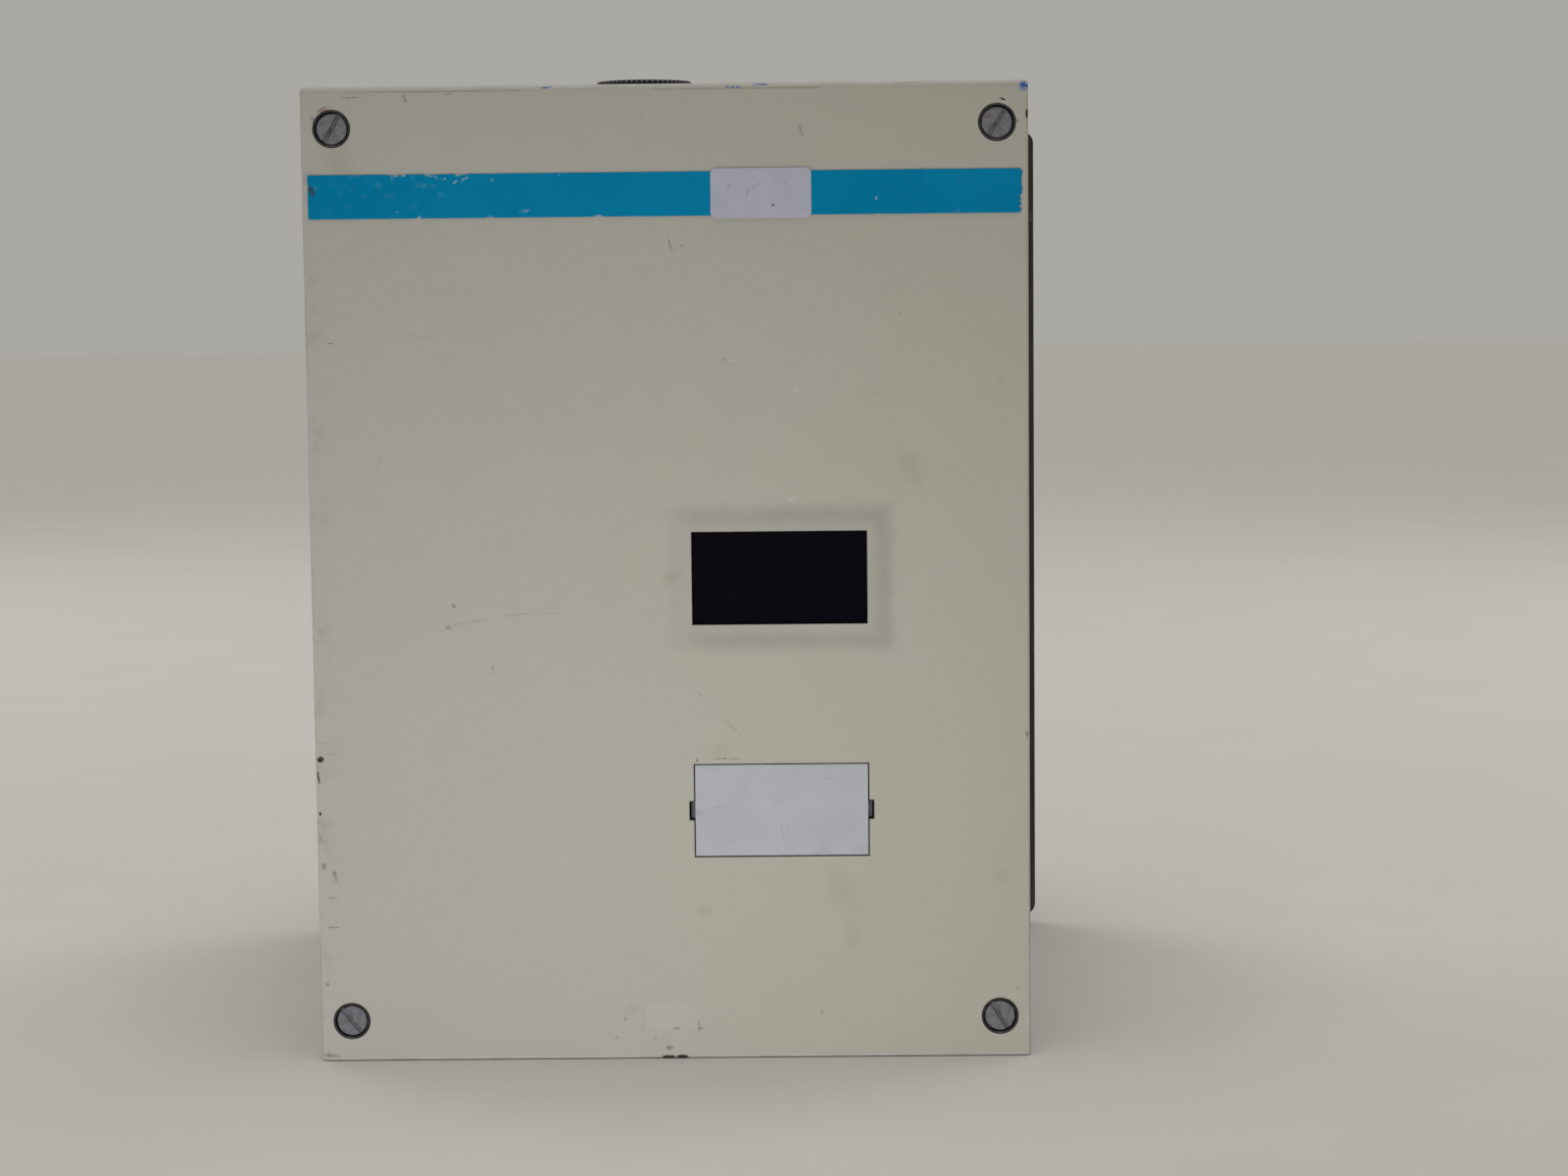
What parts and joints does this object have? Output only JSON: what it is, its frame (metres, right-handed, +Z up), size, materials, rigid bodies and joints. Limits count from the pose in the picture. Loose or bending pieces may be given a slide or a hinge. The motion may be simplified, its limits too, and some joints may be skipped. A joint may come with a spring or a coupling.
{
  "type": "frequency converter box",
  "caption": "Wall-mounted sheet-steel drive controller box with a lift-off cover on captive slotted screws, dark display window, service hatch, knurled cable entry, fan and heat sink.",
  "frame": {"origin": "middle of the bounding box's base, on the surface that the box stands on", "axes": "+Z up, +Y towards the wall that the box is fixed to, +X to the right seen from the front; the cover faces -Y"},
  "size_m": [0.24, 0.1992, 0.292],
  "materials": {
    "cover_paint": "satin grey-beige stove enamel",
    "band_blue": "satin blue foil",
    "label_paper": "matt blank label",
    "hatch_plastic": "satin light grey",
    "window_smoke": "dark smoked acrylic",
    "black_plastic": "moulded black",
    "black_rubber": "matt",
    "screw_steel": "dull dark zinc, slightly rusted",
    "zinc_steel": "zinc plated",
    "dark_plate": "matt black enamel",
    "sink_aluminium": "extruded",
    "board_green": "solder resist",
    "terminal_grey": "moulded",
    "terminal_green": "moulded",
    "capacitor_sleeve": "shrink sleeve",
    "display_red": "tinted",
    "key_grey": "moulded",
    "core_steel": "varnished laminations",
    "winding_copper": "enamelled copper wire",
    "ribbon_grey": "flat cable",
    "brass": "turned"
  },
  "bodies": {
    "housing": {"rear_mounting_plate": "dark_plate", "side_wall_left": "cover_paint", "side_wall_right": "cover_paint", "top_plate": "cover_paint", "bottom_plate": "cover_paint", "heat_sink": "sink_aluminium", "fan_frame": "black_plastic", "fan_guard": "zinc_steel", "board_carrier": "zinc_steel", "control_board": "board_green", "board_spacer_1": "brass", "board_spacer_2": "brass", "board_spacer_3": "brass", "board_spacer_4": "brass", "display_module": "display_red", "service_connector": "zinc_steel", "key_switch_block": "black_plastic", "control_terminal_strip": "terminal_green", "power_terminal_block": "terminal_grey", "terminal_bracket": "zinc_steel", "earth_stud": "brass", "power_board": "board_green", "power_module": "black_plastic", "capacitor_left": "capacitor_sleeve", "capacitor_right": "capacitor_sleeve", "choke_core": "core_steel", "choke_winding": "winding_copper", "ribbon_cable": "ribbon_grey", "nut_insert_top_left": "zinc_steel", "nut_insert_top_right": "zinc_steel", "nut_insert_bottom_left": "zinc_steel", "nut_insert_bottom_right": "zinc_steel", "cable_entry_body": "black_plastic", "cable_grommet_1": "black_rubber", "cable_grommet_2": "black_rubber", "cable_grommet_3": "black_rubber"},
    "cover": {"front_cover": "cover_paint", "colour_band": "band_blue", "blank_label": "label_paper", "window_tape": "black_rubber", "window_filter": "window_smoke", "screw_cup_top_left": "screw_steel", "screw_cup_top_right": "screw_steel", "screw_cup_bottom_left": "screw_steel", "screw_cup_bottom_right": "screw_steel"},
    "hatch": {"service_hatch": "hatch_plastic"},
    "washer_top_left": {"screw_washer_top_left": "zinc_steel"},
    "washer_top_right": {"screw_washer_top_right": "zinc_steel"},
    "washer_bottom_left": {"screw_washer_bottom_left": "zinc_steel"},
    "washer_bottom_right": {"screw_washer_bottom_right": "zinc_steel"},
    "screw_top_left": {"cover_screw_top_left": "screw_steel"},
    "screw_top_right": {"cover_screw_top_right": "screw_steel"},
    "screw_bottom_left": {"cover_screw_bottom_left": "screw_steel"},
    "screw_bottom_right": {"cover_screw_bottom_right": "screw_steel"},
    "entry_seal": {"cable_entry_seal": "black_rubber"},
    "entry_ring": {"cable_entry_ring": "black_plastic"},
    "impeller": {"fan_impeller": "black_plastic"},
    "key_1": {"setting_key_1": "key_grey"},
    "key_2": {"setting_key_2": "key_grey"},
    "key_3": {"setting_key_3": "key_grey"}
  },
  "joints": [
    {"name": "cover_lift", "type": "slide", "parent": "housing", "child": "cover", "axis": [0, -1, 0], "range_m": [0, 0.12]},
    {"name": "hatch_pull", "type": "slide", "parent": "cover", "child": "hatch", "axis": [0, -1, 0], "range_m": [0, 0.03]},
    {"name": "screw_travel_top_left", "type": "slide", "parent": "cover", "child": "washer_top_left", "axis": [0, -1, 0], "range_m": [0, 0.0048]},
    {"name": "screw_travel_top_right", "type": "slide", "parent": "cover", "child": "washer_top_right", "axis": [0, -1, 0], "range_m": [0, 0.0048]},
    {"name": "screw_travel_bottom_left", "type": "slide", "parent": "cover", "child": "washer_bottom_left", "axis": [0, -1, 0], "range_m": [0, 0.0048]},
    {"name": "screw_travel_bottom_right", "type": "slide", "parent": "cover", "child": "washer_bottom_right", "axis": [0, -1, 0], "range_m": [0, 0.0048]},
    {"name": "screw_turn_top_left", "type": "hinge", "parent": "washer_top_left", "child": "screw_top_left", "pos_m": [-0.096, -0.09895, 0.274], "axis": [0, -1, 0], "range_deg": [0, 2160]},
    {"name": "screw_turn_top_right", "type": "hinge", "parent": "washer_top_right", "child": "screw_top_right", "pos_m": [0.096, -0.09895, 0.274], "axis": [0, -1, 0], "range_deg": [0, 2160]},
    {"name": "screw_turn_bottom_left", "type": "hinge", "parent": "washer_bottom_left", "child": "screw_bottom_left", "pos_m": [-0.096, -0.09895, 0.012], "axis": [0, -1, 0], "range_deg": [0, 2160]},
    {"name": "screw_turn_bottom_right", "type": "hinge", "parent": "washer_bottom_right", "child": "screw_bottom_right", "pos_m": [0.096, -0.09895, 0.012], "axis": [0, -1, 0], "range_deg": [0, 2160]},
    {"name": "entry_travel", "type": "slide", "parent": "housing", "child": "entry_seal", "axis": [0, 0, 1], "range_m": [0, 0.006]},
    {"name": "entry_turn", "type": "hinge", "parent": "entry_seal", "child": "entry_ring", "pos_m": [-0.0102, -0.00295, 0.288], "axis": [0, 0, 1], "range_deg": [0, 1440]},
    {"name": "fan_spin", "type": "hinge", "parent": "housing", "child": "impeller", "pos_m": [0, 0.06405, 0.017], "axis": [0, 0, 1], "continuous": true},
    {"name": "key_press_1", "type": "slide", "parent": "housing", "child": "key_1", "axis": [0, 1, 0], "range_m": [0, 0.0006], "stiffness_N_per_m": 1500, "springref_m": -0.0002},
    {"name": "key_press_2", "type": "slide", "parent": "housing", "child": "key_2", "axis": [0, 1, 0], "range_m": [0, 0.0006], "stiffness_N_per_m": 1500, "springref_m": -0.0002},
    {"name": "key_press_3", "type": "slide", "parent": "housing", "child": "key_3", "axis": [0, 1, 0], "range_m": [0, 0.0006], "stiffness_N_per_m": 1500, "springref_m": -0.0002}
  ],
  "couplings": [
    {"joint": "screw_turn_top_left", "follows": "screw_travel_top_left", "rad_per_m": 7854},
    {"joint": "screw_turn_top_right", "follows": "screw_travel_top_right", "rad_per_m": 7854},
    {"joint": "screw_turn_bottom_left", "follows": "screw_travel_bottom_left", "rad_per_m": 7854},
    {"joint": "screw_turn_bottom_right", "follows": "screw_travel_bottom_right", "rad_per_m": 7854},
    {"joint": "entry_travel", "follows": "entry_turn", "m_per_rad": 0.00023873}
  ]
}
